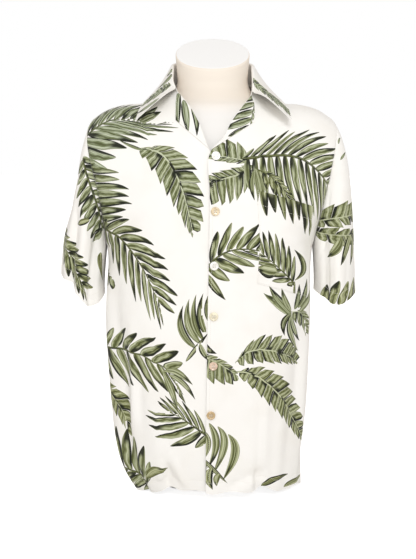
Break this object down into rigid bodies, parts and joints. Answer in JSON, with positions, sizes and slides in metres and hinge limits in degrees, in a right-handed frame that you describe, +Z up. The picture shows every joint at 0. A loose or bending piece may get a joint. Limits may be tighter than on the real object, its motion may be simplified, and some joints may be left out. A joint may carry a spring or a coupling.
{
  "type": "bowling shirt on a dress form",
  "caption": "Camp-collar short-sleeved shirt with leaf print, chest pocket and buttoned front, worn on a limbless torso dress form with a flat underside.",
  "frame": {"origin": "middle of the dress form's flat underside, on the surface it stands on", "axes": "+Z up, -Y towards the shirt's front, +X towards the wearer's left side"},
  "size_m": [0.5272, 0.2578, 0.8065],
  "materials": {
    "printed_cloth": "matt woven rayon, off-white with a green leaf print",
    "pearl_button": "pearly, polished",
    "form_cover": "smooth, satin"
  },
  "bodies": {
    "root": {"front_left": "printed_cloth", "front_right": "printed_cloth", "back": "printed_cloth", "sleeve_left": "printed_cloth", "sleeve_right": "printed_cloth", "collar": "printed_cloth", "lapel_left": "printed_cloth", "lapel_right": "printed_cloth", "pocket": "printed_cloth", "button_1": "pearl_button", "button_2": "pearl_button", "button_3": "pearl_button", "button_4": "pearl_button", "button_5": "pearl_button", "button_6": "pearl_button", "dress_form": "form_cover"}
  },
  "joints": []
}
